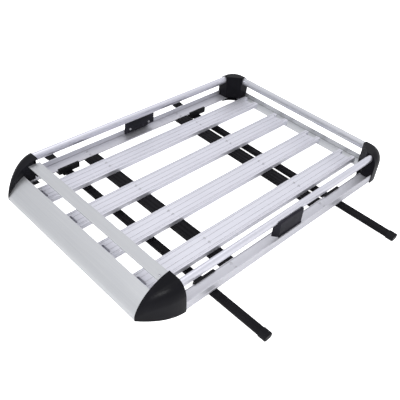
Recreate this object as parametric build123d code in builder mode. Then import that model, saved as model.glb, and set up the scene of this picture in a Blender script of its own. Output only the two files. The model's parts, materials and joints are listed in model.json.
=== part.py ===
"""Roof cargo basket on two sliding crossbars.

Frame: millimetres, +X to the front (wind deflector), +Y to the left, +Z up. The origin is the centre of
the footprint, on the surface that the crossbar straps stand on. The basket sits to one side of the
crossbars' middle, so its own centre plane is at basket_y.
"""

import os
from math import sqrt

from build123d import *

os.makedirs("parts", exist_ok=True)

# Overall
overall_length = 1274.0  # from the tip of the front caps to the back of the rear caps
basket_y = -66.0  # centre plane of the basket, from the middle of the crossbars' reach
half_width = 437.0  # outer faces of the side rails
cap_proud = 3.4  # the caps stand this far outside the rails
slide_gap = 0.3  # between pieces that slide on each other
fit_gap = 0.2  # between pieces that are fitted and then fixed
overcut = 1.0  # a cut runs this far past the face it opens

# Lower rails: a wall with a flange on its inner side
rail_width = 52.0
rail_wall = 3.5
rail_bottom = 25.0
rail_height = 39.0
flange_top = 43.0
flange_thick = 3.0
lip_size = 2.0  # small upstand along a side rail's inner edge
front_rail_x = 587.0  # outer face of the front rail
front_corner_screw_y = 376.0
rear_corner_screw_y = 370.0
corner_screw_offset = 4.0  # from the middle of an end rail, towards the front
foot_screw_y = 402.0  # the caps' screws in the side rails' flanges
front_foot_screw_inset = 27.0  # from the caps' edges
rear_foot_screw_inset = 21.0

# Top tubes, oval
tube_width = 24.0
tube_height = 36.0
tube_wall = 2.0
tube_inset = 27.7  # from a rail's outer face to the tube's centre
tube_z = 131.4

# Slats: hollow, grooved on top, cut back to a screwed tab at each end
slat_count = 4
slat_pitch = 185.6
slat_width = 84.0
slat_height = 19.0
slat_wall = 2.2
slat_lap = 20.5  # on the rear rail's flange
slat_front_lap = 27.0  # on the front rail's flange
notch_length = 29.0
notch_width = 46.0
groove_depth = 0.9
groove_width = 2.4
groove_shares = (-0.36, -0.14, 0.14, 0.36)  # of the slat's width, from its middle
notch_round = 8.0
edge_round = 3.0
tab_screw_inset = 12.5  # from the slat's end to its screw

# Cross-members
member_width = 57.0
member_spacing = 498.0
member_height = 18.0
member_wall = 2.0
member_end_gap = 1.0  # to the rail's wall
member_round = 2.0
slat_screw_gauge = 24.0  # between the two screws across a slat
rail_screw_gauge = 22.0
rail_screw_inset = 28.0  # from the rail's outer face to the middle of the two screws

# Wind deflector and top bar
deflector_top = (565.0, 102.0)
deflector_foot = (636.0, 36.0)
deflector_bulge = 8.0
deflector_sheet = 2.5
deflector_tab = 16.0  # the tab that stands against the front rail
tab_screw_drop = 1.0  # its screws sit this far below its middle
top_bar_front = 542.5
top_bar_width = 48.0
top_bar_z = 132.0
top_bar_thick = 4.0
top_bar_round = 1.2
top_bar_screw_y = 346.0
top_bar_screw_x = 525.0

# Front caps
cap_wall = 3.0
cap_inner_y = 364.0
cap_bottom = 25.5
front_cap_rear_x = 491.0
front_cap_top = 155.0
front_cap_lean = 11.0  # how far the rear edge leans forward at the top
nose_power = 1.85  # exponent of the side profile
nose_blunt = 0.985  # the nose is cut off at this share of its length
crest_width = 37.0  # flat of the rear section, from the inner rim
side_height = 69.0  # upright part of the rear section
web_rear_x = 519.0
web_bottom = 68.0
shelf_thick = 4.0
shelf_setback = 5.0  # behind the flat bar's front edge
shelf_inner_y = 335.0
foot_thick = 3.0
foot_setback = 6.0  # of the foot from the cap's inner rim
web_steps = 8  # spans of the web's curved edge

# Rear caps
rear_cap_radius = 78.0
rear_cap_length = 96.0  # along the side rail
rear_cap_span = 98.0  # along the rear rail
rear_cap_top = 153.0
rear_cap_shoulder = 100.0  # height where the wall starts to curve in
rear_cap_crown = 36.0  # how far it curves in
core_margin = 5.0  # the slanted inner wall stands this far from the tubes
rib_gap = 6.0  # the ribs start this far above the rails
gusset_reach = 27.0  # the gusset runs this far past the cap along the side rail
gusset_lap = 3.0  # the gusset shows this far past the side rail's flange
gusset_rear_lap = 12.0  # and this far past the rear rail's flange
gusset_leg = 18.0
gusset_hollow = 9.0  # depth of its concave edge
spigot_length = 20.0  # the spigots in the tubes reach this far out of the caps

# Centre supports
support_x = -18.0
support_length = 160.0
support_face = 126.0  # outer face, between the chamfered ends
support_inner_y = 410.0
support_outer_y = 431.0
support_foot = 64.5  # underside of the block
tongue_thick = 3.5
support_plate = 2.0
support_rim = 5.0
support_lap = 3.0  # the block's top stands this far below the tube's middle
plate_gap = 2.0  # from the cover plate to the tube
plate_sink = 0.5  # depth of the plate below the block's face
tongue_lap = 6.0  # of the tongue in the block
support_screw_gauge = 102.0
support_screw_z = 76.0
tongue_screw_z = 54.0

# Crossbars and their clamps
crossbar_length = 1220.0
crossbar_xs = {"front": 363.0, "rear": -342.0}
crossbar_ys = {"front": -8.0, "rear": 8.0}
crossbar_section = (32.0, 20.0)
crossbar_round = 7.0
crossbar_wall = 2.0
end_cap_length = 30.0
end_cap_proud = 2.0
end_cap_wall = 4.0
end_cap_round = 3.5
strap_thick = 3.0
strap_width = 26.0
strap_ear = 16.0
strap_round = 2.5
strap_inset = 8.0  # from the side rail's inner edge
clamp_length = 94.0
clamp_reach = 58.4  # inwards from the rail's outer face
jaw_lap = 4.0  # over the flange
jaw_thick = 2.5
clamp_bolt_depth = 12.0

# Fasteners
screw_radius = 2.5
screw_hole = 2.7
head_radius = 4.6
head_height = 2.4
head_draft = 8.0
recess_width = 1.0
bolt_radius = 3.0
bolt_hole = 3.2
hex_flats = 10.0
hex_height = 4.0
nut_height = 4.0
nut_clearance = 0.05
thread_show = 1.0  # of a bolt past its nut
end_gap = 1.0  # from a screw's end to what it must not touch
screw_length = 12.0

# Worked out
nose_x = overall_length / 2
tail_x = -overall_length / 2
rail_top = rail_bottom + rail_height
flange_bottom = flange_top - flange_thick
slat_top = flange_top + slat_height
rear_rail_x = tail_x + cap_proud
cap_outer_y = half_width + cap_proud
rail_edge_y = half_width - rail_width  # inner edges of the side rails' flanges
tube_y = half_width - tube_inset
rear_tube_x = rear_rail_x + tube_inset
tube_bottom = tube_z - tube_height / 2
slat_rear_x = rear_rail_x + rail_width - slat_lap
slat_front_x = front_rail_x - rail_width + slat_front_lap
slat_ys = [(i - (slat_count - 1) / 2) * slat_pitch for i in range(slat_count)]
member_bottom = flange_top - member_height
member_xs = {"front": member_spacing / 2, "rear": -member_spacing / 2}
bar_bottom = strap_thick + slide_gap
bar_middle = bar_bottom + crossbar_section[1] / 2
bar_top = bar_bottom + crossbar_section[1]
block_bottom = bar_top + slide_gap
rear_cap_x = tail_x + rear_cap_length  # front edge of the rear caps
rear_cap_y = cap_outer_y - rear_cap_span  # inner edge of the rear caps
mid_plane = Plane(origin=(0, basket_y, 0), x_dir=(1, 0, 0), z_dir=(0, 1, 0))


def across(x):
    """Plane across the basket at x: local x is +Y from the basket's centre, local y is +Z."""
    return Plane(origin=(x, basket_y, 0), x_dir=(0, 1, 0), z_dir=(1, 0, 0))


def along(y):
    """Upright plane along the basket, y from its centre: local x is +X, local y is +Z, normal -Y."""
    return Plane(origin=(0, basket_y + y, 0), x_dir=(1, 0, 0), z_dir=(0, -1, 0))


def deck(z):
    """Level plane at z: local x is +X, local y is +Y from the basket's centre."""
    return Plane(origin=(0, basket_y, z))


def save(piece, label):
    piece.part.label = label
    export_step(piece.part, f"parts/{label}.step")


def save_pair(piece, label):
    """Writes the left piece and its mirror image on the right."""
    save(piece, f"left_{label}")
    with BuildPart() as twin:
        mirror(piece.part, about=mid_plane)
    save(twin, f"right_{label}")


def rail_outline(face, inward, lip):
    """Rail section from its outer face; inward is the sign towards the basket's middle."""
    at = lambda depth: face + inward * depth
    return [
        (at(0), rail_top),
        (at(rail_wall), rail_top),
        (at(rail_wall), flange_top),
        (at(rail_width - lip_size), flange_top),
        (at(rail_width - lip_size), flange_top + lip),
        (at(rail_width), flange_top + lip),
        (at(rail_width), flange_bottom),
        (at(rail_wall), flange_bottom),
        (at(rail_wall), rail_bottom),
        (at(0), rail_bottom),
    ]


def end_rail_outline(face, inward):
    """Section of the front and rear rails, which have no lip because the slats lie on them."""
    at = lambda depth: face + inward * depth
    return [
        (at(0), rail_top),
        (at(rail_wall), rail_top),
        (at(rail_wall), flange_top),
        (at(rail_width), flange_top),
        (at(rail_width), flange_bottom),
        (at(rail_wall), flange_bottom),
        (at(rail_wall), rail_bottom),
        (at(0), rail_bottom),
    ]


# ---- Side rails -------------------------------------------------------------------------------------
cap_sleeve = 11.0  # the rails' walls run this far into the caps
tongue_y = 418.0  # the flange is this wide where it runs into a cap
side_rail_front = front_rail_x - rail_width - fit_gap
side_rail_rear = rear_rail_x + rail_width + fit_gap
wall_front = front_cap_rear_x + cap_sleeve
wall_rear = rear_cap_x - cap_sleeve
front_foot_screw = (front_cap_rear_x + front_foot_screw_inset, foot_screw_y)
rear_foot_screw = (rear_cap_x - rear_foot_screw_inset, foot_screw_y)
rail_screw_ys = [half_width - rail_screw_inset + side * rail_screw_gauge / 2 for side in (-1, 1)]
support_screw_xs = [support_x + side * support_screw_gauge / 2 for side in (-1, 1)]
tongue_screw_depth = 2.5  # the tongue's screws stop inside the rail's wall
with BuildPart() as side_rail:
    with BuildSketch(across(side_rail_rear)):
        with BuildLine():
            Polyline(*rail_outline(half_width, -1, lip_size), close=True)
        make_face()
    extrude(amount=side_rail_front - side_rail_rear)
    for x_low, x_high in ((wall_front, side_rail_front), (side_rail_rear, wall_rear)):
        with BuildSketch(deck(0)):
            with Locations(((x_low + x_high) / 2, (tongue_y + half_width) / 2)):
                Rectangle(x_high - x_low, half_width - tongue_y)
        extrude(amount=rail_top, mode=Mode.SUBTRACT)
    with BuildSketch(deck(flange_top)):
        with Locations(((side_rail_rear + rear_cap_x) / 2, rail_edge_y + lip_size / 2)):
            Rectangle(rear_cap_x - side_rail_rear, lip_size)
    extrude(amount=lip_size, mode=Mode.SUBTRACT)
    with BuildSketch(deck(flange_top)):
        with Locations(*[(x, y) for x in member_xs.values() for y in rail_screw_ys]):
            Circle(bolt_hole)
        with Locations(front_foot_screw, rear_foot_screw):
            Circle(screw_hole)
    extrude(amount=-flange_thick, mode=Mode.SUBTRACT)
    with BuildSketch(along(half_width - rail_wall)):
        with Locations(*[(x, tongue_screw_z) for x in support_screw_xs]):
            Circle(screw_hole)
    extrude(amount=-tongue_screw_depth, mode=Mode.SUBTRACT)
save_pair(side_rail, "lower_rail")

# ---- Front and rear rails ---------------------------------------------------------------------------
end_rails = {
    "front": (front_rail_x, -1, cap_inner_y - fit_gap, rail_edge_y - fit_gap),
    "rear": (rear_rail_x, 1, rear_cap_y + cap_sleeve, rail_edge_y - fit_gap),
}
front_corner_screw = (front_rail_x - rail_width / 2 + corner_screw_offset, front_corner_screw_y)
rear_corner_screw = (rear_rail_x + rail_width / 2 + corner_screw_offset, rear_corner_screw_y)
corner_screws = {"front": front_corner_screw, "rear": rear_corner_screw}
slat_screw_xs = {"front": slat_front_x - tab_screw_inset, "rear": slat_rear_x + tab_screw_inset}
tab_screw_z = rail_bottom + deflector_sheet + deflector_tab / 2 - tab_screw_drop
wall_cut = 16.0  # the wall is cut away this deep beside the caps
for end, (face, inward, wall_half, flange_half) in end_rails.items():
    with BuildPart() as end_rail:
        with BuildSketch(along(flange_half)):
            with BuildLine():
                Polyline(*end_rail_outline(face, inward), close=True)
            make_face()
        extrude(amount=2 * flange_half)
        for side in (-1, 1):
            with BuildSketch(deck(0)):
                with Locations((face, side * (wall_half + flange_half) / 2)):
                    Rectangle(2 * wall_cut, flange_half - wall_half)
            extrude(amount=rail_top, mode=Mode.SUBTRACT)
        corner_x, corner_y = corner_screws[end]
        with BuildSketch(deck(flange_top)):
            with Locations(*[(slat_screw_xs[end], y) for y in slat_ys]):
                Circle(screw_hole)
            with Locations((corner_x, corner_y), (corner_x, -corner_y)):
                Circle(screw_hole)
        extrude(amount=-flange_thick, mode=Mode.SUBTRACT)
        if end == "front":
            with BuildSketch(across(face)):
                with Locations(*[(y, tab_screw_z) for y in slat_ys]):
                    Circle(screw_hole)
            extrude(amount=-rail_wall, mode=Mode.SUBTRACT)
    save(end_rail, f"{end}_lower_rail")

# ---- Top tubes --------------------------------------------------------------------------------------
tube_sleeve = 4.0  # the side tubes run this far into the front caps
tube_screw_inset = 12.0  # from a rear cap to the screw in the tube
side_tube_front = front_cap_rear_x + front_cap_lean + tube_sleeve
side_tube_rear = rear_cap_x - cap_sleeve
with BuildPart() as side_tube:
    with BuildSketch(across(side_tube_rear)):
        with Locations((tube_y, tube_z)):
            Ellipse(tube_width / 2, tube_height / 2)
            Ellipse(tube_width / 2 - tube_wall, tube_height / 2 - tube_wall, mode=Mode.SUBTRACT)
    extrude(amount=side_tube_front - side_tube_rear)
    with BuildSketch(along(tube_y)):
        with Locations((rear_cap_x + tube_screw_inset, tube_z)):
            Circle(screw_hole)
    extrude(amount=tube_width, mode=Mode.SUBTRACT)
save_pair(side_tube, "top_tube")

rear_tube_half = rear_cap_y + cap_sleeve
with BuildPart() as rear_tube:
    with BuildSketch(along(rear_tube_half)):
        with Locations((rear_tube_x, tube_z)):
            Ellipse(tube_width / 2, tube_height / 2)
            Ellipse(tube_width / 2 - tube_wall, tube_height / 2 - tube_wall, mode=Mode.SUBTRACT)
    extrude(amount=2 * rear_tube_half)
    with BuildSketch(across(rear_tube_x)):
        with Locations(*[(side * (rear_cap_y - tube_screw_inset), tube_z) for side in (-1, 1)]):
            Circle(screw_hole)
    extrude(amount=tube_width, mode=Mode.SUBTRACT)
save(rear_tube, "rear_top_tube")

# ---- Slats ------------------------------------------------------------------------------------------
for number, slat_y in enumerate(slat_ys, start=1):
    with BuildPart() as slat:
        with BuildSketch(across(slat_rear_x)) as outline:
            with Locations((slat_y, flange_top + slat_height / 2)):
                Rectangle(slat_width, slat_height)
            fillet(outline.vertices().group_by(Axis.Y)[-1], edge_round)
            with Locations((slat_y, flange_top + slat_height / 2)):
                Rectangle(slat_width - 2 * slat_wall, slat_height - 2 * slat_wall, mode=Mode.SUBTRACT)
            groove_ys = [slat_y + share * slat_width for share in groove_shares]
            with Locations(*[(y, slat_top) for y in groove_ys]):
                Rectangle(groove_width, 2 * groove_depth, mode=Mode.SUBTRACT)
        extrude(amount=slat_front_x - slat_rear_x)
        with BuildSketch(deck(flange_top + slat_wall)):
            with Locations((slat_rear_x, slat_y), (slat_front_x, slat_y)):
                RectangleRounded(2 * notch_length, notch_width, notch_round)
        extrude(amount=slat_height, mode=Mode.SUBTRACT)
        screw_ys = [slat_y + side * slat_screw_gauge / 2 for side in (-1, 1)]
        with BuildSketch(deck(flange_top)):
            with Locations(*[(x, y) for x in member_xs.values() for y in screw_ys]):
                Circle(screw_hole)
            with Locations(*[(x, slat_y) for x in slat_screw_xs.values()]):
                Circle(screw_hole)
        extrude(amount=slat_height, mode=Mode.SUBTRACT)
    save(slat, f"floor_slat_{number}")

# ---- Cross-members ----------------------------------------------------------------------------------
member_half = half_width - rail_wall - member_end_gap
member_roof = flange_bottom - member_wall  # underside of the top wall
member_screw_ys = [y + side * slat_screw_gauge / 2 for y in slat_ys for side in (-1, 1)]
member_screw_ys += [side * y for y in rail_screw_ys for side in (-1, 1)]
for end, member_x in member_xs.items():
    with BuildPart() as member:
        with BuildSketch(along(member_half)) as section:
            with Locations((member_x, (member_bottom + flange_top) / 2)):
                Rectangle(member_width, flange_top - member_bottom)
            fillet(section.vertices().group_by(Axis.Y)[-1], member_round)
            with Locations((member_x, (member_bottom + member_roof) / 2)):
                Rectangle(member_width - 2 * member_wall, member_roof - member_bottom, mode=Mode.SUBTRACT)
        extrude(amount=2 * member_half)
        step_y = rail_edge_y - fit_gap
        for side in (-1, 1):
            with BuildSketch(deck(flange_bottom)):
                with Locations((member_x, side * (step_y + member_half) / 2)):
                    Rectangle(member_width, member_half - step_y)
            extrude(amount=flange_thick, mode=Mode.SUBTRACT)
        with BuildSketch(deck(member_roof)):
            with Locations(*[(member_x, y) for y in member_screw_ys]):
                Circle(bolt_hole)
        extrude(amount=flange_top - member_roof, mode=Mode.SUBTRACT)
    save(member, f"{end}_cross_member")

# ---- Wind deflector ---------------------------------------------------------------------------------
deflector_half = cap_inner_y - fit_gap
top_point = Vector(*deflector_top)
foot_point = Vector(*deflector_foot)
chord = foot_point - top_point
outward = Vector(-chord.Y, chord.X).normalized()
bend_radius = (chord.length**2 / 4 + deflector_bulge**2) / (2 * deflector_bulge)
crown_point = (top_point + foot_point) / 2 + outward * deflector_bulge
bend_centre = crown_point - outward * bend_radius
tab_face = front_rail_x + fit_gap
tab_top = rail_bottom + deflector_sheet + deflector_tab


def inside_sheet(point):
    """The point one sheet thickness further in, towards the centre of the bend."""
    return point + (bend_centre - point).normalized() * deflector_sheet


with BuildPart() as deflector:
    with BuildSketch(along(deflector_half)):
        with BuildLine():
            ThreePointArc(top_point, crown_point, foot_point)
            Polyline(
                foot_point,
                (foot_point.X, rail_bottom),
                (tab_face, rail_bottom),
                (tab_face, tab_top),
                (tab_face + deflector_sheet, tab_top),
                (tab_face + deflector_sheet, rail_bottom + deflector_sheet),
                (foot_point.X - deflector_sheet, rail_bottom + deflector_sheet),
                inside_sheet(foot_point),
            )
            ThreePointArc(inside_sheet(foot_point), inside_sheet(crown_point), inside_sheet(top_point))
            Line(inside_sheet(top_point), top_point)
        make_face()
    extrude(amount=2 * deflector_half)
    with BuildSketch(across(tab_face)):
        with Locations(*[(y, tab_screw_z) for y in slat_ys]):
            Circle(screw_hole)
    extrude(amount=deflector_sheet, mode=Mode.SUBTRACT)
save(deflector, "front_deflector")

# ---- Flat bar across the front ----------------------------------------------------------------------
top_bar_half = cap_inner_y - fit_gap
with BuildPart() as top_bar:
    with BuildSketch(deck(top_bar_z)):
        with Locations((top_bar_front - top_bar_width / 2, 0)):
            Rectangle(top_bar_width, 2 * top_bar_half)
        with Locations((top_bar_screw_x, top_bar_screw_y), (top_bar_screw_x, -top_bar_screw_y)):
            Circle(screw_hole, mode=Mode.SUBTRACT)
    extrude(amount=top_bar_thick)
    fillet(top_bar.edges().filter_by(Axis.Y).group_by(Axis.Z)[-1], top_bar_round)
save(top_bar, "front_top_bar")

# ---- Front caps -------------------------------------------------------------------------------------
nose_stations = [0.0, 0.2, 0.4, 0.6, 0.76, 0.88, 0.95, nose_blunt]
rib_rear_x = side_tube_front + fit_gap


def crest_point(share, inset):
    """Point of the nose's side profile, at a share of its length, inset from the outside."""
    rise = (1 - share**nose_power) ** (1 / nose_power)
    crest_x = front_cap_rear_x + (nose_x - front_cap_rear_x - inset) * share / nose_blunt
    return crest_x, cap_bottom + (front_cap_top - cap_bottom - inset) * rise


def nose_block(inset, floor_z, inner_y):
    """Lofted body of the left front cap, inset from its outside by inset."""
    with BuildPart() as block:
        for share in nose_stations:
            section_x, crest_z = crest_point(share, inset)
            rise = (crest_z - cap_bottom) / (front_cap_top - cap_bottom - inset)
            reach = (cap_outer_y - cap_inner_y - inset) * (1 - share**2)
            wall_y = cap_inner_y + reach
            crest_y = cap_inner_y + reach * rise * crest_width / (cap_outer_y - cap_inner_y)
            side_z = cap_bottom + side_height * rise
            with BuildSketch(across(section_x)):
                with BuildLine():
                    Polyline(
                        (wall_y, side_z),
                        (wall_y, floor_z),
                        (inner_y, floor_z),
                        (inner_y, crest_z),
                        (crest_y, crest_z),
                    )
                    EllipticalCenterArc((crest_y, side_z), wall_y - crest_y, crest_z - side_z, arc_size=90)
                make_face()
        loft()
    return block.part


def tube_oval(margin):
    """Section of a top tube, larger by margin, or smaller where that is negative."""
    return Ellipse(tube_width / 2 + margin, tube_height / 2 + margin)


nose_body = nose_block(0, cap_bottom, cap_inner_y)
nose_hollow = nose_block(cap_wall, cap_bottom - overcut, cap_inner_y - overcut)
nose_fill = nose_block(cap_wall / 2, cap_bottom, cap_inner_y)
foot_rear_x = wall_front + fit_gap
foot_front_x = front_rail_x - 2 * rail_wall
foot_inner_y = cap_inner_y + foot_setback
with BuildPart() as nose_ribs:
    with BuildSketch(deck(flange_bottom - foot_thick)):
        with Locations(((foot_rear_x + foot_front_x) / 2, (foot_inner_y + cap_outer_y) / 2)):
            Rectangle(foot_front_x - foot_rear_x, cap_outer_y - foot_inner_y)
        with Locations(front_foot_screw, front_corner_screw):
            Circle(screw_hole, mode=Mode.SUBTRACT)
    extrude(amount=foot_thick)
    with BuildSketch(across(rib_rear_x)):
        with Locations(((foot_inner_y + cap_outer_y) / 2, (web_bottom + front_cap_top) / 2)):
            Rectangle(cap_outer_y - foot_inner_y, front_cap_top - web_bottom)
    extrude(amount=cap_wall)
    add(nose_fill, mode=Mode.INTERSECT)

web_share = nose_blunt * (web_rear_x - front_cap_rear_x) / (nose_x - front_cap_rear_x - cap_wall / 2)
web_rise = (web_bottom - cap_bottom) / (front_cap_top - cap_bottom - cap_wall / 2)
web_end = (1 - web_rise**nose_power) ** (1 / nose_power)
web_span = (web_end - web_share) / web_steps
web_points = [crest_point(web_share + web_span * i, cap_wall / 2) for i in range(web_steps + 1)]
with BuildPart() as front_cap:
    add(nose_body)
    add(nose_hollow, mode=Mode.SUBTRACT)
    with BuildSketch(along(cap_inner_y)):
        with BuildLine():
            Polyline(
                (front_cap_rear_x - overcut, cap_bottom - overcut),
                (front_cap_rear_x + overcut, cap_bottom - overcut),
                (front_cap_rear_x + front_cap_lean, front_cap_top + overcut),
                (front_cap_rear_x - overcut, front_cap_top + overcut),
                close=True,
            )
        make_face()
    extrude(amount=-2 * (cap_outer_y - cap_inner_y), mode=Mode.SUBTRACT)
    with BuildSketch(along(cap_inner_y + cap_wall)):
        with BuildLine():
            Spline(*web_points)
            Polyline(web_points[-1], (web_rear_x, web_bottom), web_points[0])
        make_face()
    extrude(amount=cap_wall)
    with BuildSketch(deck(top_bar_z - shelf_thick)):
        shelf_front_x = top_bar_front - shelf_setback
        shelf_rear_x = front_cap_rear_x + front_cap_lean
        shelf_outer_y = cap_inner_y + cap_wall
        with Locations(((shelf_rear_x + shelf_front_x) / 2, (shelf_inner_y + shelf_outer_y) / 2)):
            Rectangle(shelf_front_x - shelf_rear_x, shelf_outer_y - shelf_inner_y)
        with Locations((top_bar_screw_x, top_bar_screw_y)):
            Circle(screw_hole, mode=Mode.SUBTRACT)
    extrude(amount=shelf_thick)
    add(nose_ribs.part)
    with BuildSketch(across(front_cap_rear_x)):
        with Locations((tube_y, tube_z)):
            tube_oval(fit_gap)
    extrude(amount=rib_rear_x - front_cap_rear_x, mode=Mode.SUBTRACT)
    with BuildSketch(across(rib_rear_x)):
        with Locations((tube_y, tube_z)):
            tube_oval(-tube_wall - fit_gap)
    extrude(amount=-spigot_length)
save_pair(front_cap, "front_cap")

# ---- Rear caps --------------------------------------------------------------------------------------
bend_x = tail_x + rear_cap_radius
bend_y = cap_outer_y - rear_cap_radius
core_x = rear_tube_x + tube_width / 2 + core_margin  # the slanted inner wall runs from here to core_y
core_y = tube_y - tube_width / 2 - core_margin
bend_axis = Axis((bend_x, basket_y + bend_y, 0), (0, 0, 1))
side_leg_plane = Plane(origin=(bend_x, basket_y + bend_y, 0), x_dir=(0, 1, 0), z_dir=(1, 0, 0))
rear_leg_plane = Plane(origin=(bend_x, basket_y + bend_y, 0), x_dir=(-1, 0, 0), z_dir=(0, 1, 0))
miter = sqrt(2) - 1


def crown_waste(plane, inset):
    """What the crown takes off above the shoulder, as a section outwards from the bend's axis."""
    crown_start = rear_cap_radius - rear_cap_crown
    outside = rear_cap_radius + overcut
    above = rear_cap_top + overcut
    with BuildSketch(plane) as section:
        with BuildLine():
            EllipticalCenterArc(
                (crown_start, rear_cap_shoulder),
                rear_cap_crown - inset,
                rear_cap_top - inset - rear_cap_shoulder,
                arc_size=90,
            )
            Polyline(
                (crown_start, rear_cap_top - inset),
                (crown_start, above),
                (outside, above),
                (outside, rear_cap_shoulder),
                (rear_cap_radius - inset, rear_cap_shoulder),
            )
        make_face()
    return section.sketch


def corner_block(inset):
    """Body of the left rear cap, inset from its outside by inset."""
    with BuildPart() as block:
        with BuildSketch(deck(cap_bottom)):
            with BuildLine():
                Polyline(
                    (tail_x + inset, bend_y),
                    (tail_x + inset, rear_cap_y + inset),
                    (core_x - miter * inset, rear_cap_y + inset),
                    (rear_cap_x - inset, core_y + miter * inset),
                    (rear_cap_x - inset, cap_outer_y - inset),
                    (bend_x, cap_outer_y - inset),
                )
                CenterArc((bend_x, bend_y), rear_cap_radius - inset, start_angle=90, arc_size=90)
            make_face()
        extrude(amount=rear_cap_top - inset - cap_bottom)
        extrude(crown_waste(side_leg_plane, inset), amount=rear_cap_length, mode=Mode.SUBTRACT)
        extrude(crown_waste(rear_leg_plane, inset), amount=-rear_cap_span, mode=Mode.SUBTRACT)
        revolve(crown_waste(side_leg_plane, inset), axis=bend_axis, revolution_arc=90, mode=Mode.SUBTRACT)
    return block.part


gusset_front_x = rear_cap_x + gusset_reach
gusset_edge_y = rail_edge_y - gusset_lap
gusset_edge_x = rear_rail_x + rail_width + gusset_rear_lap
gusset_mid = Vector((gusset_front_x + gusset_edge_x) / 2, (gusset_edge_y + rear_cap_y) / 2)
gusset_inside = gusset_mid + Vector(-1, 1).normalized() * gusset_hollow
gusset_skin = cap_wall / 2  # the gusset's edge is buried this deep in the cap's wall
rear_wall_half = rear_cap_y + cap_sleeve
side_rib_x = side_tube_rear - fit_gap
rear_rib_y = rear_tube_half + fit_gap
rear_rib_x = tail_x + (rail_width + cap_proud) / 2
rib_floor = rail_top + rib_gap
with BuildPart() as corner_ribs:
    with BuildSketch(deck(rib_floor)):
        with Locations((side_rib_x - cap_wall / 2, (rail_edge_y + cap_outer_y) / 2)):
            Rectangle(cap_wall, rail_width + cap_proud)
        with Locations((rear_rib_x, rear_rib_y + cap_wall / 2)):
            Rectangle(rail_width + cap_proud, cap_wall)
    extrude(amount=rear_cap_top - rib_floor)
    add(corner_block(cap_wall / 2), mode=Mode.INTERSECT)

with BuildPart() as rear_cap:
    add(corner_block(0))
    add(corner_block(cap_wall), mode=Mode.SUBTRACT)
    with BuildSketch(deck(cap_bottom - overcut)):
        with BuildLine():
            Polyline(
                (tail_x + cap_wall, bend_y),
                (tail_x + cap_wall, rear_cap_y - overcut),
                (rear_cap_x + overcut, rear_cap_y - overcut),
                (rear_cap_x + overcut, cap_outer_y - cap_wall),
                (bend_x, cap_outer_y - cap_wall),
            )
            CenterArc((bend_x, bend_y), rear_cap_radius - cap_wall, start_angle=90, arc_size=90)
        make_face()
    extrude(amount=flange_top + fit_gap - cap_bottom + overcut, mode=Mode.SUBTRACT)
    slot_height = rail_top + fit_gap - flange_top
    with BuildSketch(deck(flange_top)):
        slot_depth = 2 * (cap_wall + overcut)
        side_slot = (half_width - rail_wall - fit_gap, cap_outer_y - cap_wall)
        with Locations((rear_cap_x, sum(side_slot) / 2)):
            Rectangle(slot_depth, side_slot[1] - side_slot[0])
        rear_slot = (tail_x + cap_wall, rear_rail_x + rail_wall + fit_gap)
        with Locations((sum(rear_slot) / 2, rear_cap_y)):
            Rectangle(rear_slot[1] - rear_slot[0], slot_depth)
    extrude(amount=slot_height, mode=Mode.SUBTRACT)
    with BuildSketch(across(side_tube_rear - fit_gap)):
        with Locations((tube_y, tube_z)):
            tube_oval(fit_gap)
    extrude(amount=rear_cap_x + overcut - side_tube_rear, mode=Mode.SUBTRACT)
    with BuildSketch(along(rear_tube_half + fit_gap)):
        with Locations((rear_tube_x, tube_z)):
            tube_oval(fit_gap)
    extrude(amount=rear_tube_half + overcut - rear_cap_y, mode=Mode.SUBTRACT)
    with BuildSketch(deck(flange_bottom - foot_thick)):
        with BuildLine():
            Polyline(
                (gusset_front_x, gusset_edge_y),
                (gusset_front_x, gusset_edge_y + gusset_leg),
                (wall_rear - fit_gap, gusset_edge_y + gusset_leg),
                (wall_rear - fit_gap, cap_outer_y - gusset_skin),
                (bend_x, cap_outer_y - gusset_skin),
            )
            CenterArc((bend_x, bend_y), rear_cap_radius - gusset_skin, start_angle=90, arc_size=90)
            Polyline(
                (tail_x + gusset_skin, bend_y),
                (tail_x + gusset_skin, rear_wall_half + fit_gap),
                (gusset_edge_x - gusset_leg, rear_wall_half + fit_gap),
                (gusset_edge_x - gusset_leg, rear_cap_y),
                (gusset_edge_x, rear_cap_y),
            )
            ThreePointArc((gusset_edge_x, rear_cap_y), gusset_inside, (gusset_front_x, gusset_edge_y))
        make_face()
        with Locations(rear_foot_screw, rear_corner_screw):
            Circle(screw_hole, mode=Mode.SUBTRACT)
    extrude(amount=foot_thick)
    add(corner_ribs.part)
    spigot_reach = cap_sleeve + fit_gap + spigot_length
    with BuildSketch(across(side_rib_x)):
        with Locations((tube_y, tube_z)):
            tube_oval(-tube_wall - fit_gap)
    extrude(amount=spigot_reach)
    with BuildSketch(along(rear_rib_y)):
        with Locations((rear_tube_x, tube_z)):
            tube_oval(-tube_wall - fit_gap)
    extrude(amount=spigot_reach)
    with BuildSketch(along(tube_y)):
        with Locations((rear_cap_x + tube_screw_inset, tube_z)):
            Circle(screw_hole)
    extrude(amount=tube_width / 2, mode=Mode.SUBTRACT)
    with BuildSketch(across(rear_tube_x)):
        with Locations((rear_cap_y - tube_screw_inset, tube_z)):
            Circle(screw_hole)
    extrude(amount=tube_width / 2, mode=Mode.SUBTRACT)
save_pair(rear_cap, "rear_cap")

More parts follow.
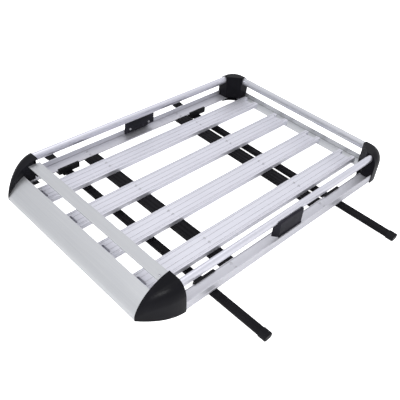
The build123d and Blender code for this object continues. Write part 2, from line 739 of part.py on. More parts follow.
# ---- Centre supports --------------------------------------------------------------------------------
support_top = tube_z - support_lap
plate_length = support_length - 2 * support_rim - 2 * fit_gap
plate_floor = support_foot + support_rim
plate_height = tube_bottom - plate_gap - plate_floor
pocket_depth = support_plate + plate_sink
tongue_top = support_foot + tongue_lap
tongue_outer_y = half_width - rail_wall - fit_gap
with BuildPart() as support:
    with BuildSketch(deck(support_foot)):
        with BuildLine():
            Polyline(
                (support_x - support_length / 2, support_inner_y),
                (support_x + support_length / 2, support_inner_y),
                (support_x + support_face / 2, support_outer_y),
                (support_x - support_face / 2, support_outer_y),
                close=True,
            )
        make_face()
    extrude(amount=support_top - support_foot)
    with BuildSketch(across(support_x - support_length)):
        with Locations((tube_y, tube_z)):
            tube_oval(fit_gap)
    extrude(amount=2 * support_length, mode=Mode.SUBTRACT)
    with BuildSketch(along(support_inner_y)):
        with Locations((support_x, plate_floor + plate_height / 2)):
            Rectangle(plate_length + 2 * fit_gap, plate_height + 2 * fit_gap)
    extrude(amount=-pocket_depth, mode=Mode.SUBTRACT)
    with BuildSketch(along(support_inner_y)):
        with Locations(*[(x, support_screw_z) for x in support_screw_xs]):
            Circle(screw_hole)
    extrude(amount=-pocket_depth - screw_length, mode=Mode.SUBTRACT)
    with BuildSketch(along(tongue_outer_y)):
        with Locations((support_x, (flange_top + tongue_top) / 2)):
            Rectangle(support_face, tongue_top - flange_top)
        with Locations(*[(x, tongue_screw_z) for x in support_screw_xs]):
            Circle(screw_hole, mode=Mode.SUBTRACT)
    extrude(amount=tongue_thick)
save_pair(support, "centre_support")

with BuildPart() as cover_plate:
    with BuildSketch(along(support_inner_y + pocket_depth)):
        with Locations((support_x, plate_floor + plate_height / 2)):
            Rectangle(plate_length, plate_height)
        with Locations(*[(x, support_screw_z) for x in support_screw_xs]):
            Circle(screw_hole, mode=Mode.SUBTRACT)
    extrude(amount=support_plate)
save_pair(cover_plate, "support_cover_plate")

# ---- Crossbars, their end caps, clamps and straps -----------------------------------------------------
tube_end_gap = end_cap_wall + fit_gap
bar_tube_length = crossbar_length - 2 * tube_end_gap
bar_width, bar_height = crossbar_section
strap_y = rail_edge_y + strap_inset + strap_width / 2  # middle of a strap, from the basket's centre
strap_inner = bar_width / 2 + slide_gap
strap_outer = strap_inner + strap_thick
clamp_bolt_x = strap_outer + strap_ear / 2
for end, bar_x in crossbar_xs.items():
    bar_y = crossbar_ys[end]
    bar_start = (bar_x, bar_y - bar_tube_length / 2, bar_middle)
    bar_plane = Plane(origin=bar_start, x_dir=(1, 0, 0), z_dir=(0, 1, 0))
    with BuildPart() as crossbar:
        with BuildSketch(bar_plane):
            RectangleRounded(bar_width, bar_height, crossbar_round)
            RectangleRounded(
                bar_width - 2 * crossbar_wall,
                bar_height - 2 * crossbar_wall,
                crossbar_round - crossbar_wall,
                mode=Mode.SUBTRACT,
            )
        extrude(amount=bar_tube_length)
    save(crossbar, f"{end}_crossbar")

    for side, outwards in (("left", 1), ("right", -1)):
        tip_y = bar_y + outwards * crossbar_length / 2
        tip_plane = Plane(origin=(bar_x, tip_y, bar_middle), x_dir=(1, 0, 0), z_dir=(0, -outwards, 0))
        with BuildPart() as end_cap:
            with BuildSketch(tip_plane):
                RectangleRounded(
                    bar_width + 2 * end_cap_proud,
                    bar_height + 2 * end_cap_proud,
                    crossbar_round + end_cap_proud,
                )
            extrude(amount=end_cap_length)
            tip_face = end_cap.faces().sort_by(Axis.Y)[-1 if outwards > 0 else 0]
            fillet(tip_face.edges(), end_cap_round)
            with BuildSketch(tip_plane.offset(end_cap_wall)):
                RectangleRounded(bar_width + 2 * fit_gap, bar_height + 2 * fit_gap, crossbar_round + fit_gap)
            extrude(amount=end_cap_length, mode=Mode.SUBTRACT)
        save(end_cap, f"{end}_{side}_crossbar_cap")

        at = lambda depth: outwards * (half_width - depth)
        jaw_bottom = flange_top + lip_size + slide_gap
        block_top = flange_bottom - slide_gap
        with BuildPart() as clamp:
            with BuildSketch(across(bar_x - clamp_length / 2)):
                with BuildLine():
                    Polyline(
                        (at(clamp_reach), block_bottom),
                        (at(rail_wall + slide_gap), block_bottom),
                        (at(rail_wall + slide_gap), block_top),
                        (at(rail_width + slide_gap), block_top),
                        (at(rail_width + slide_gap), jaw_bottom),
                        (at(rail_width - jaw_lap), jaw_bottom),
                        (at(rail_width - jaw_lap), jaw_bottom + jaw_thick),
                        (at(clamp_reach), jaw_bottom + jaw_thick),
                        close=True,
                    )
                make_face()
            extrude(amount=clamp_length)
            with BuildSketch(deck(block_bottom)):
                with Locations(*[(bar_x + turn * clamp_bolt_x, outwards * strap_y) for turn in (-1, 1)]):
                    Circle(bolt_hole)
            extrude(amount=clamp_bolt_depth, mode=Mode.SUBTRACT)
        save(clamp, f"{end}_{side}_clamp_block")

        ear = strap_outer + strap_ear
        ear_bottom = block_bottom - strap_thick
        with BuildPart() as strap:
            with BuildSketch(along(outwards * strap_y + strap_width / 2)) as hat:
                with BuildLine():
                    Polyline(
                        (bar_x - ear, block_bottom),
                        (bar_x - ear, ear_bottom),
                        (bar_x - strap_outer, ear_bottom),
                        (bar_x - strap_outer, 0),
                        (bar_x + strap_outer, 0),
                        (bar_x + strap_outer, ear_bottom),
                        (bar_x + ear, ear_bottom),
                        (bar_x + ear, block_bottom),
                        (bar_x + strap_inner, block_bottom),
                        (bar_x + strap_inner, strap_thick),
                        (bar_x - strap_inner, strap_thick),
                        (bar_x - strap_inner, block_bottom),
                        close=True,
                    )
                make_face()
                fillet(hat.vertices().group_by(Axis.Y)[0], strap_round)
            extrude(amount=strap_width)
            with BuildSketch(deck(ear_bottom)):
                with Locations(*[(bar_x + turn * clamp_bolt_x, outwards * strap_y) for turn in (-1, 1)]):
                    Circle(bolt_hole)
            extrude(amount=strap_thick, mode=Mode.SUBTRACT)
        save(strap, f"{end}_{side}_clamp_strap")

# ---- Fasteners --------------------------------------------------------------------------------------


def seat(x, y, z, inwards):
    """Plane under a screw's head: y from the basket's centre, inwards along the shank."""
    side_dir = (0, 1, 0) if abs(inwards[0]) > 0 else (1, 0, 0)
    return Plane(origin=(x, basket_y + y, z), x_dir=side_dir, z_dir=inwards)


def pan_screws(label, seats, radius, length):
    """A set of round-headed screws with a cross recess."""
    with BuildPart() as screws:
        for plane in seats:
            with BuildSketch(plane.offset(-head_height)):
                Circle(head_radius)
            extrude(amount=head_height, taper=-head_draft)
            with BuildSketch(plane.offset(-head_height)):
                Rectangle(head_radius, recess_width)
                Rectangle(recess_width, head_radius)
            extrude(amount=head_height / 2, mode=Mode.SUBTRACT)
            with BuildSketch(plane):
                Circle(radius)
            extrude(amount=length)
    save(screws, label)


def hex_bolts(label, seats, length):
    """A set of hexagon-headed bolts."""
    with BuildPart() as bolts:
        for plane in seats:
            with BuildSketch(plane.offset(-hex_height)):
                RegularPolygon(hex_flats / 2, 6, major_radius=False)
            extrude(amount=hex_height)
            with BuildSketch(plane):
                Circle(bolt_radius)
            extrude(amount=length)
    save(bolts, label)


def hex_nuts(label, seats, radius):
    """A set of hexagon nuts, each hanging below its seat."""
    with BuildPart() as nuts:
        for plane in seats:
            with BuildSketch(plane):
                RegularPolygon(hex_flats / 2, 6, major_radius=False)
                Circle(radius + nut_clearance, mode=Mode.SUBTRACT)
            extrude(amount=nut_height)
    save(nuts, label)


down, up = (0, 0, -1), (0, 0, 1)
sides = (-1, 1)
slat_bolt_ys = [y + side * slat_screw_gauge / 2 for y in slat_ys for side in sides]
slat_bolt_spots = [(x, y) for x in member_xs.values() for y in slat_bolt_ys]
rail_bolt_spots = [(x, side * y) for x in member_xs.values() for y in rail_screw_ys for side in sides]
tab_spots = [(x, y) for x in slat_screw_xs.values() for y in slat_ys]
cap_spots = [front_foot_screw, front_corner_screw, rear_foot_screw, rear_corner_screw]
tab_top_z = flange_top + slat_wall
bar_face_z = top_bar_z + top_bar_thick
past_member = nut_height + thread_show - member_roof
plate_face = support_inner_y + pocket_depth - support_plate
tongue_face = tongue_outer_y - tongue_thick
tongue_screw_length = half_width - rail_wall + tongue_screw_depth - fit_gap - tongue_face

tab_seats = [seat(x, y, tab_top_z, down) for x, y in tab_spots]
slat_bolt_seats = [seat(x, y, slat_top, down) for x, y in slat_bolt_spots]
slat_nut_seats = [seat(x, y, member_roof, down) for x, y in slat_bolt_spots]
rail_bolt_seats = [seat(x, y, flange_top, down) for x, y in rail_bolt_spots]
rail_nut_seats = [seat(x, y, member_roof, down) for x, y in rail_bolt_spots]
top_bar_seats = [seat(top_bar_screw_x, side * top_bar_screw_y, bar_face_z, down) for side in sides]
deflector_seats = [seat(front_rail_x - rail_wall, y, tab_screw_z, (1, 0, 0)) for y in slat_ys]
cap_seats = [seat(x, side * y, flange_top, down) for x, y in cap_spots for side in sides]
plate_seats = [
    seat(x, side * plate_face, support_screw_z, (0, side, 0)) for x in support_screw_xs for side in sides
]
tongue_seats = [
    seat(x, side * tongue_face, tongue_screw_z, (0, side, 0)) for x in support_screw_xs for side in sides
]
side_tube_screw_x = rear_cap_x + tube_screw_inset
side_tube_face = tube_y - tube_width / 2
rear_tube_screw_y = rear_cap_y - tube_screw_inset
rear_tube_face = rear_tube_x + tube_width / 2
tube_seats = [seat(side_tube_screw_x, side * side_tube_face, tube_z, (0, side, 0)) for side in sides]
tube_seats += [seat(rear_tube_face, side * rear_tube_screw_y, tube_z, (-1, 0, 0)) for side in sides]

pan_screws("slat_end_screws", tab_seats, screw_radius, screw_length)
pan_screws("slat_cross_bolts", slat_bolt_seats, screw_radius, slat_top + past_member)
hex_nuts("slat_bolt_nuts", slat_nut_seats, screw_radius)
pan_screws("rail_cross_bolts", rail_bolt_seats, bolt_radius, flange_top + past_member)
hex_nuts("rail_bolt_nuts", rail_nut_seats, bolt_radius)
pan_screws("top_bar_screws", top_bar_seats, screw_radius, screw_length)
pan_screws("deflector_screws", deflector_seats, screw_radius, screw_length)
pan_screws("cap_screws", cap_seats, screw_radius, screw_length)
pan_screws("support_plate_screws", plate_seats, screw_radius, screw_length)
pan_screws("support_foot_screws", tongue_seats, screw_radius, tongue_screw_length)
pan_screws("tube_screws", tube_seats, screw_radius, tube_width / 2 - end_gap)
for end, bar_x in crossbar_xs.items():
    bolt_spots = [(bar_x + turn * clamp_bolt_x, side * strap_y) for turn in sides for side in sides]
    bolt_seats = [seat(x, y, ear_bottom, up) for x, y in bolt_spots]
    hex_bolts(f"{end}_clamp_bolts", bolt_seats, strap_thick + clamp_bolt_depth - end_gap)
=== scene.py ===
import json
from math import atan2, cos, radians, sin

import bpy
from mathutils import Matrix, Vector


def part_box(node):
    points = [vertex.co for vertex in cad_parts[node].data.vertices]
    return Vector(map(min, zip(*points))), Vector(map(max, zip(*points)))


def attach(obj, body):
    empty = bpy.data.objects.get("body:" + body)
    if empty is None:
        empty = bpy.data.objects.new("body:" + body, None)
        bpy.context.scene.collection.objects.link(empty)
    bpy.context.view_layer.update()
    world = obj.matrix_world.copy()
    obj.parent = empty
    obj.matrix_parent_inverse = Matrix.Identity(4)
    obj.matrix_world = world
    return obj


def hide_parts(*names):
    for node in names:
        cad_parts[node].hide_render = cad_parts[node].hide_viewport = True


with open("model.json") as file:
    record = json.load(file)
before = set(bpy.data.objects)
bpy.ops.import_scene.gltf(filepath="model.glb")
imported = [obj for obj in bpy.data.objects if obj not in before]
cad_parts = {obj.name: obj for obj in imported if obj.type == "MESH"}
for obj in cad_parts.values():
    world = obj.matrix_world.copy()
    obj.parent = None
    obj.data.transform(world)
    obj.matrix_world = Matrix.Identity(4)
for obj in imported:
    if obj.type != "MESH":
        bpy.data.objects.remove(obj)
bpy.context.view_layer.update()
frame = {"nodes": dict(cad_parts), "record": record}
nodeSlot = {part["node"]: part["material_slot"] for part in frame["record"]["subparts"]}
bodies = frame["record"]["behaviour"]["bodies"]
bodyOf = {node: body for body, members in bodies.items() for node in members}
print("frame loaded:", len(nodeSlot), "nodes")

# camera: where a person stands beside the deflector, a little above the basket
camera = {"place": (1.3212, 1.1379, 1.4050), "yaw": 222.29, "pitch": -39.52, "roll": 5.74, "lens": 50.94,
          "sensor": 36, "nearest": 0.01}


def makeCamera(c):
    yaw, pitch, roll = radians(c["yaw"]), radians(c["pitch"]), radians(c["roll"])
    ahead = Vector((cos(pitch) * cos(yaw), cos(pitch) * sin(yaw), sin(pitch)))
    right = ahead.cross(Vector((0, 0, 1))).normalized()
    above = right.cross(ahead)
    tiltedRight = right * cos(roll) + above * sin(roll)
    tiltedUp = above * cos(roll) - right * sin(roll)
    turn = Matrix((tiltedRight, tiltedUp, -ahead)).transposed().to_4x4()
    bpy.ops.object.camera_add()
    eye = bpy.context.object
    eye.matrix_world = Matrix.Translation(c["place"]) @ turn
    eye.data.lens = c["lens"]
    eye.data.sensor_width = c["sensor"]
    eye.data.clip_start = c["nearest"]
    bpy.context.scene.camera = eye


makeCamera(camera)

# studio: a white floor that only just keeps a shadow, a bright room and three soft lamps
studio = {"floorSize": 40, "floorDrop": 0.0004, "floorGlow": 1.0, "floorBounce": 0.16, "floorTone": 0.80,
          "floorRough": 0.9, "floorGleam": 0.1, "roomTop": (0.97, 0.97, 1.0), "roomSide": (0.78, 0.79, 0.82),
          "roomGlow": 1.0, "roomTopFrom": 0.85}
lamps = {
    "overhead": {"place": (-0.4, 0.6, 2.6), "aim": (0, 0, 0), "size": (2.6, 1.6), "watts": 8},
    "noseStrip": {"place": (1.9, 0.2, 2.2), "aim": (0.5, 0.3, 0.1), "size": (0.35, 1.8), "watts": 8},
    "capStreak": {"place": (1.55, 1.00, 1.05), "aim": (0.58, 0.345, 0.10), "size": (0.8, 0.10), "watts": 10},
    "sideFill": {"place": (0.4, 2.8, 1.2), "aim": (0, 0.3, 0.1), "size": (2.4, 1.2), "watts": 2},
}


def deselectAll():
    bpy.ops.object.select_all(action="DESELECT")


def plainMaterial(name):
    finish = bpy.data.materials.new(name)
    finish.use_nodes = True
    return finish, finish.node_tree.nodes, finish.node_tree.links, finish.node_tree.nodes["Principled BSDF"]


def toneRamp(nodes, positions, tones):
    ramp = nodes.new("ShaderNodeValToRGB")
    for stop, position, tone in zip(ramp.color_ramp.elements, positions, tones):
        stop.position = position
        stop.color = (*tone, 1)
    return ramp


def makeStudio(s):
    deselectAll()
    bpy.ops.mesh.primitive_plane_add(size=s["floorSize"], location=(0, 0, -s["floorDrop"]))
    floor = bpy.context.object
    floor.name = "studioFloor"
    finish, nodes, links, shader = plainMaterial("studioWhite")
    shader.inputs["Base Color"].default_value = (s["floorTone"], s["floorTone"], s["floorTone"], 1)
    shader.inputs["Roughness"].default_value = s["floorRough"]
    shader.inputs["Specular IOR Level"].default_value = s["floorGleam"]
    shader.inputs["Emission Color"].default_value = (1, 1, 1, 1)
    seen = nodes.new("ShaderNodeLightPath")  # the glow is only seen, it doesn't light the basket
    glow = nodes.new("ShaderNodeMath")
    glow.operation = "MULTIPLY_ADD"
    glow.inputs[1].default_value = s["floorGlow"]
    glow.inputs[2].default_value = s["floorBounce"]
    links.new(seen.outputs["Is Camera Ray"], glow.inputs[0])
    links.new(glow.outputs[0], shader.inputs["Emission Strength"])
    floor.data.materials.append(finish)
    room = bpy.data.worlds.new("studioRoom")
    bpy.context.scene.world = room
    room.use_nodes = True
    sky = room.node_tree.nodes
    direction = sky.new("ShaderNodeTexCoord")
    split = sky.new("ShaderNodeSeparateXYZ")
    ramp = toneRamp(sky, (0.0, s["roomTopFrom"]), (s["roomSide"], s["roomTop"]))
    room.node_tree.links.new(direction.outputs["Generated"], split.inputs[0])
    room.node_tree.links.new(split.outputs["Z"], ramp.inputs[0])
    room.node_tree.links.new(ramp.outputs[0], sky["Background"].inputs["Color"])
    sky["Background"].inputs["Strength"].default_value = s["roomGlow"]
    for name, lamp in lamps.items():
        bpy.ops.object.light_add(type="AREA", location=lamp["place"])
        light = bpy.context.object
        light.name = name
        light.data.shape = "RECTANGLE"
        light.data.size, light.data.size_y = lamp["size"]
        light.data.energy = lamp["watts"]
        toward = Vector(lamp["aim"]) - Vector(lamp["place"])
        light.rotation_euler = toward.to_track_quat("-Z", "Y").to_euler()
    bpy.context.scene.view_settings.view_transform = "Standard"


makeStudio(studio)
print("studio ready")

# finishes: brushed aluminium whose edges are lighter, partly rubbed wear and partly a painted highlight, with
# painted shade in its grooves and corners, and grained black plastics and coatings
edgeWearAndGlint = {"samples": 4, "radius": 0.0012, "sharp": 0.90, "flat": 0.995}
# painted shade in grooves and corners: samples and reach of the ambient occlusion, its closed and open limits, and
# how dark the shade gets
paintedGrooveShade = {"samples": 6, "reach": 0.0045, "open": 0.95, "closed": 0.45, "tone": 0.60}
brushing = {"detail": 4.0, "cloudScale": 7.0, "cloudDetail": 2.0, "cloudShare": 0.25, "stops": (0.30, 0.70),
            "depth": 0.0004, "metallic": 0.88}
graining = {"detail": 3.0, "cloudScale": 11.0, "cloudDetail": 2.0, "stops": (0.35, 0.68), "depth": 0.0003}
metals = {
    "slat_aluminium": {"light": (0.80, 0.80, 0.86), "dark": (0.71, 0.71, 0.765), "grain": (6, 900, 900),
                       "rough": (0.44, 0.56), "scratch": 0.16, "wornAndGlint": (0.90, 0.90, 0.94)},
    "rail_aluminium": {"light": (0.70, 0.70, 0.74), "dark": (0.60, 0.60, 0.64), "grain": (6, 700, 700),
                       "rough": (0.46, 0.58), "scratch": 0.12, "wornAndGlint": (0.90, 0.90, 0.93)},
    "crossRail_aluminium": {"light": (0.74, 0.75, 0.765), "dark": (0.64, 0.65, 0.665), "grain": (700, 6, 700),
                            "rough": (0.34, 0.48), "scratch": 0.12, "wornAndGlint": (0.78, 0.79, 0.80)},
    "tube_aluminium": {"light": (0.74, 0.74, 0.80), "dark": (0.66, 0.66, 0.725), "grain": (5, 600, 600),
                       "rough": (0.24, 0.36), "scratch": 0.08, "wornAndGlint": (0.86, 0.86, 0.90)},
    "crossTube_aluminium": {"light": (0.66, 0.67, 0.70), "dark": (0.57, 0.58, 0.61), "grain": (600, 5, 600),
                            "rough": (0.26, 0.38), "scratch": 0.08, "wornAndGlint": (0.84, 0.84, 0.87)},
    "sheet_aluminium": {"light": (0.60, 0.61, 0.62), "dark": (0.55, 0.56, 0.575), "grain": (260, 4, 260),
                        "rough": (0.36, 0.42), "scratch": 0.03, "wornAndGlint": (0.80, 0.81, 0.82)},
    "screw_steel": {"light": (0.62, 0.62, 0.65), "dark": (0.42, 0.42, 0.44), "grain": (400, 400, 400),
                    "rough": (0.25, 0.40), "scratch": 0.10, "wornAndGlint": (0.85, 0.85, 0.88)},
}
darks = {
    "cap_plastic": {"light": (0.0060, 0.0058, 0.0085), "dark": (0.0030, 0.0030, 0.0045), "grain": 900,
                    "rough": (0.30, 0.40), "relief": 0.05, "gleam": 0.11},
    "support_plastic": {"light": (0.022, 0.021, 0.029), "dark": (0.010, 0.010, 0.014), "grain": 1400,
                        "rough": (0.50, 0.62), "relief": 0.20, "gleam": 0.12},
    "bar_coating": {"light": (0.0070, 0.0065, 0.0085), "dark": (0.0035, 0.0033, 0.0045), "grain": 1800,
                    "rough": (0.40, 0.56), "relief": 0.25, "gleam": 0.09},
    "bar_cap_plastic": {"light": (0.0080, 0.0080, 0.010), "dark": (0.0045, 0.0045, 0.006), "grain": 900,
                        "rough": (0.42, 0.52), "relief": 0.10, "gleam": 0.12},
    "clamp_coating": {"light": (0.0080, 0.0080, 0.0095), "dark": (0.0040, 0.0040, 0.0050), "grain": 1500,
                      "rough": (0.45, 0.60), "relief": 0.20, "gleam": 0.12},
    "bolt_steel": {"light": (0.050, 0.050, 0.056), "dark": (0.022, 0.022, 0.025), "grain": 800,
                   "rough": (0.35, 0.50), "relief": 0.10, "gleam": 0.30},
}


# edges get a lighter colour: partly rubbed wear, partly a painted highlight along them
def paintEdgeWearAndGlint(nodes, links, w):
    shape = nodes.new("ShaderNodeNewGeometry")
    rounded = nodes.new("ShaderNodeBevel")
    rounded.samples = w["samples"]
    rounded.inputs["Radius"].default_value = w["radius"]
    match = nodes.new("ShaderNodeVectorMath")
    match.operation = "DOT_PRODUCT"
    wornAndGlint = nodes.new("ShaderNodeMapRange")
    wornAndGlint.inputs["From Min"].default_value = w["flat"]
    wornAndGlint.inputs["From Max"].default_value = w["sharp"]
    links.new(shape.outputs["Normal"], match.inputs[0])
    links.new(rounded.outputs["Normal"], match.inputs[1])
    links.new(match.outputs["Value"], wornAndGlint.inputs["Value"])
    return wornAndGlint.outputs["Result"]


def grooveShade(nodes, links, colour, g):
    sunken = nodes.new("ShaderNodeAmbientOcclusion")  # painted shade: grooves and corners are darkened by local ambient occlusion
    sunken.samples = g["samples"]
    sunken.only_local = True
    sunken.inputs["Distance"].default_value = g["reach"]
    depth = nodes.new("ShaderNodeMapRange")
    depth.inputs["From Min"].default_value = g["closed"]
    depth.inputs["From Max"].default_value = g["open"]
    depth.inputs["To Min"].default_value = g["tone"]
    darken = nodes.new("ShaderNodeMix")
    darken.data_type = "RGBA"
    darken.blend_type = "MULTIPLY"
    darken.inputs["Factor"].default_value = 1.0
    links.new(sunken.outputs["AO"], depth.inputs["Value"])
    links.new(colour, darken.inputs["A"])
    links.new(depth.outputs["Result"], darken.inputs["B"])
    return darken.outputs["Result"]


def noise(nodes, links, place, scale, detail):
    texture = nodes.new("ShaderNodeTexNoise")
    texture.inputs["Scale"].default_value = scale
    texture.inputs["Detail"].default_value = detail
    links.new(place, texture.inputs["Vector"])
    return texture.outputs["Fac"]


def surface(nodes, links, shader, height, rough, strength, depth):
    gloss = nodes.new("ShaderNodeMapRange")
    gloss.inputs["To Min"].default_value, gloss.inputs["To Max"].default_value = rough
    relief = nodes.new("ShaderNodeBump")
    relief.inputs["Strength"].default_value = strength
    relief.inputs["Distance"].default_value = depth
    links.new(height, gloss.inputs["Value"])
    links.new(gloss.outputs["Result"], shader.inputs["Roughness"])
    links.new(height, relief.inputs["Height"])
    links.new(relief.outputs["Normal"], shader.inputs["Normal"])


def metalFinish(name, m, b):
    finish, nodes, links, shader = plainMaterial(name)
    place = nodes.new("ShaderNodeTexCoord").outputs["Object"]
    stretch = nodes.new("ShaderNodeMapping")
    stretch.inputs["Scale"].default_value = m["grain"]
    links.new(place, stretch.inputs["Vector"])
    brush = noise(nodes, links, stretch.outputs["Vector"], 1.0, b["detail"])
    cloud = noise(nodes, links, place, b["cloudScale"], b["cloudDetail"])  # faint unevenness of the anodising
    blendIn = nodes.new("ShaderNodeMix")
    blendIn.data_type = "FLOAT"
    blendIn.inputs["Factor"].default_value = b["cloudShare"]
    tone = toneRamp(nodes, b["stops"], (m["dark"], m["light"]))
    # mix in the lighter edge colour: rubbed wear and painted highlight
    rubAndGlint = nodes.new("ShaderNodeMix")
    rubAndGlint.data_type = "RGBA"
    rubAndGlint.inputs["B"].default_value = (*m["wornAndGlint"], 1)
    links.new(brush, blendIn.inputs["A"])
    links.new(cloud, blendIn.inputs["B"])
    links.new(blendIn.outputs["Result"], tone.inputs[0])
    links.new(paintEdgeWearAndGlint(nodes, links, edgeWearAndGlint), rubAndGlint.inputs["Factor"])
    links.new(tone.outputs["Color"], rubAndGlint.inputs["A"])
    links.new(grooveShade(nodes, links, rubAndGlint.outputs["Result"], paintedGrooveShade), shader.inputs["Base Color"])
    surface(nodes, links, shader, brush, m["rough"], m["scratch"], b["depth"])
    shader.inputs["Metallic"].default_value = b["metallic"]
    return finish


def darkFinish(name, d, g):
    finish, nodes, links, shader = plainMaterial(name)
    place = nodes.new("ShaderNodeTexCoord").outputs["Object"]
    grain = noise(nodes, links, place, d["grain"], g["detail"])
    cloud = noise(nodes, links, place, g["cloudScale"], g["cloudDetail"])
    tone = toneRamp(nodes, g["stops"], (d["dark"], d["light"]))
    links.new(cloud, tone.inputs[0])
    links.new(tone.outputs["Color"], shader.inputs["Base Color"])
    surface(nodes, links, shader, grain, d["rough"], d["relief"], g["depth"])
    shader.inputs["Specular IOR Level"].default_value = d["gleam"]
    return finish


finishes = {name: metalFinish(name, m, brushing) for name, m in metals.items()}
finishes.update({name: darkFinish(name, d, graining) for name, d in darks.items()})
brightBolts = {"rail_cross_bolts": "screw_steel", "top_bar_screws": "screw_steel"}
acrossGrain = {"front_lower_rail": "crossRail_aluminium", "rear_lower_rail": "crossRail_aluminium",
               "rear_top_tube": "crossTube_aluminium"}
print("finishes ready:", len(finishes))

# every CAD piece is shown by a welded copy with softened edges, so that its edges catch the light
softening = {
    "floor_slat": {"width": 0.0006, "steps": 2, "crease": 35},
    "lower_rail": {"width": 0.0008, "steps": 2, "crease": 35},
    "top_tube": {"width": 0.0003, "steps": 1, "crease": 50},
    "front_cap": {"width": 0.0007, "steps": 2, "crease": 42},
    "rear_cap": {"width": 0.0008, "steps": 2, "crease": 42},
    "deflector": {"width": 0.0008, "steps": 3, "crease": 35},
    "top_bar": {"width": 0.0004, "steps": 2, "crease": 35},
    "support": {"width": 0.0009, "steps": 2, "crease": 35},
    "crossbar": {"width": 0.0004, "steps": 1, "crease": 45},
    "cross_member": {"width": 0.0006, "steps": 2, "crease": 35},
    "clamp": {"width": 0.0008, "steps": 2, "crease": 35},
}
welding = {"reach": 0.00002, "flatTo": 0.3, "smoothLess": 4, "weight": 100}

# more fine grooves along the tops of the extrusions: where across the section (from the middle), how wide, how deep
grooves = {
    "floor_slat": {"axis": 0, "at": (-0.0362, 0.0362), "wide": 0.0020, "deep": 0.0007, "margin": 0.032},
    "cross_member": {"axis": 1, "at": (-0.0205, -0.0165, -0.0015, 0.0025, 0.0165, 0.0205), "wide": 0.0016,
                     "deep": 0.0009, "margin": 0.060},
    "crossbar": {"axis": 1, "at": (-0.0045, 0.0, 0.0045), "wide": 0.0012, "deep": 0.0006, "margin": 0.001},
}

# the side rails' lower band leans in below a round ridge, and a folded liner closes each slat's end notches
railBand = {"top": 0.0385, "lean": 0.0021, "ridge": 0.0016, "sides": 16, "sunk": 0.0003, "inset": 0.046,
            "reach": 0.020, "overrun": 0.002}
notchLiner = {"long": 0.0290, "halfWide": 0.0235, "thick": 0.0014, "low": 0.0448, "high": 0.0602,
              "lip": 0.0012, "round": 0.0004}
addedEdge = {"steps": 2, "crease": 40}


def corners(piece):
    low = Vector(min(v.co[i] for v in piece.data.vertices) for i in range(3))
    high = Vector(max(v.co[i] for v in piece.data.vertices) for i in range(3))
    return low, high


def makeBlock(size, place, tilt=0.0):
    deselectAll()
    bpy.ops.mesh.primitive_cube_add(size=1, location=place, rotation=(tilt, 0, 0))
    block = bpy.context.object
    block.scale = size
    bpy.ops.object.transform_apply(location=True, rotation=True, scale=True)
    return block


def pick(pieces):
    deselectAll()
    for piece in pieces:
        piece.select_set(True)
    bpy.context.view_layer.objects.active = pieces[0]


def workPiece(piece, operation, blocks):
    tool = blocks[0]
    if len(blocks) > 1:
        pick(blocks)
        bpy.ops.object.join()
    pick([piece])
    work = piece.modifiers.new("work", "BOOLEAN")
    work.operation = operation
    work.solver = "EXACT"
    work.object = tool
    bpy.ops.object.modifier_apply(modifier=work.name)
    bpy.data.objects.remove(tool)


def millGrooves(piece, g):
    low, high = corners(piece)
    across = 1 - g["axis"]
    blocks = []
    for offset in g["at"]:
        size, place = Vector((0, 0, 2 * g["deep"])), (low + high) / 2
        size[g["axis"]] = high[g["axis"]] - low[g["axis"]] - 2 * g["margin"]
        size[across] = g["wide"]
        place[across] += offset
        place[2] = high[2]
        blocks.append(makeBlock(size, place))
    workPiece(piece, "DIFFERENCE", blocks)


def finishPart(piece, name, nodeName, rounding):
    pick([piece])
    soften = piece.modifiers.new("softenEdges", "BEVEL")
    soften.width = rounding
    soften.segments = addedEdge["steps"]
    bpy.ops.object.modifier_apply(modifier=soften.name)
    bpy.ops.object.shade_smooth_by_angle(angle=radians(addedEdge["crease"]))
    piece.name = name
    dress(piece, nodeName)
    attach(piece, bodyOf[nodeName])


def lineNotches(nodeName, n):
    low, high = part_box(nodeName)
    middle = (low.y + high.y) / 2
    height, level = n["high"] - n["low"], (n["low"] + n["high"]) / 2
    for end, inwards, where in ((high.x, -1, "front"), (low.x, 1, "rear")):
        back = makeBlock((n["thick"], 2 * n["halfWide"] + n["thick"], height),
                         (end + inwards * n["long"], middle, level))
        walls = [makeBlock((n["long"] - n["lip"], n["thick"], height),
                           (end + inwards * (n["long"] + n["lip"]) / 2, middle + side * n["halfWide"], level))
                 for side in (-1, 1)]
        for wall in walls:
            workPiece(back, "UNION", [wall])
        finishPart(back, nodeName + "_" + where + "_liner", nodeName, n["round"])


def leanBand(piece, band, outwards):
    low, high = corners(piece)
    face = high.y if outwards > 0 else low.y
    length = high.x - low.x + band["overrun"]
    drop = Vector((0, -outwards * band["lean"], low.z - band["top"])).normalized()
    facing = Vector((0, -outwards * drop.z, outwards * drop.y))
    start = Vector(((low.x + high.x) / 2, face, band["top"]))
    middle = start + drop * band["reach"] / 2 + facing * band["reach"] / 4
    wedge = makeBlock((length, band["reach"] / 2, band["reach"]), middle,
                      -outwards * atan2(-drop.y * outwards, -drop.z))
    workPiece(piece, "DIFFERENCE", [wedge])


def addRidge(nodeName, band, outwards):
    low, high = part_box(nodeName)
    face = high.y if outwards > 0 else low.y
    deselectAll()
    place = ((low.x + high.x) / 2, face - outwards * band["sunk"], band["top"] + band["sunk"])
    bpy.ops.mesh.primitive_cylinder_add(vertices=band["sides"], radius=band["ridge"],
                                        depth=high.x - low.x - band["inset"], location=place,
                                        rotation=(0, radians(90), 0))
    ridge = bpy.context.object
    bpy.ops.object.transform_apply(location=True, rotation=True, scale=True)
    finishPart(ridge, nodeName + "_ridge", nodeName, band["ridge"] / 3)


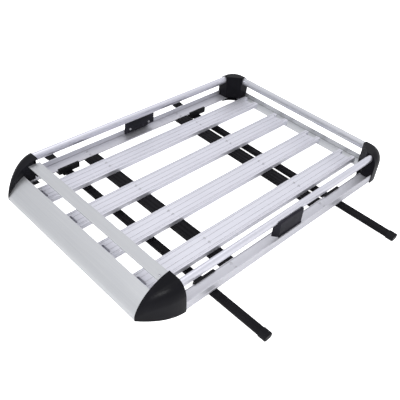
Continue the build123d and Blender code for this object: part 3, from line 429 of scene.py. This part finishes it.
def weldedCopy(nodeName, s, g):
    piece = bpy.data.objects.new(nodeName + "_shown", frame["nodes"][nodeName].data.copy())
    bpy.context.collection.objects.link(piece)
    pick([piece])
    bpy.ops.object.mode_set(mode="EDIT")
    bpy.ops.mesh.select_all(action="SELECT")
    bpy.ops.mesh.customdata_custom_splitnormals_clear()
    bpy.ops.mesh.remove_doubles(threshold=welding["reach"])
    bpy.ops.mesh.dissolve_limited(angle_limit=radians(welding["flatTo"]))
    bpy.ops.object.mode_set(mode="OBJECT")
    if g:
        millGrooves(piece, g)
    if nodeName in ("left_lower_rail", "right_lower_rail"):
        leanBand(piece, railBand, 1 if nodeName.startswith("left") else -1)
    soften = piece.modifiers.new("softenEdges", "BEVEL")
    soften.width = s["width"]
    soften.segments = s["steps"]
    soften.limit_method = "ANGLE"
    soften.angle_limit = radians(s["crease"])
    soften.use_clamp_overlap = True
    bpy.ops.object.modifier_apply(modifier=soften.name)
    bpy.ops.object.shade_smooth_by_angle(angle=radians(s["crease"] - welding["smoothLess"]))
    even = piece.modifiers.new("evenShading", "WEIGHTED_NORMAL")
    even.weight = welding["weight"]
    even.keep_sharp = True
    bpy.ops.object.modifier_apply(modifier=even.name)
    return piece


def dress(piece, nodeName):
    finish = finishes[acrossGrain.get(nodeName, brightBolts.get(nodeName, nodeSlot[nodeName]))]
    piece.data.materials.clear()
    piece.data.materials.append(finish)


for nodeName in sorted(frame["nodes"]):
    kind = next((kind for kind in softening if kind in nodeName), None)
    if kind and not nodeName.endswith(("screws", "bolts", "nuts")):
        shown = weldedCopy(nodeName, softening[kind], grooves.get(kind))
        dress(shown, nodeName)
        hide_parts(nodeName)
        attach(shown, bodyOf[nodeName])
    else:
        dress(frame["nodes"][nodeName], nodeName)
for nodeName in sorted(frame["nodes"]):
    if nodeName.startswith("floor_slat"):
        lineNotches(nodeName, notchLiner)
for nodeName, outwards in (("left_lower_rail", 1), ("right_lower_rail", -1)):
    addRidge(nodeName, railBand, outwards)
print("pieces dressed")
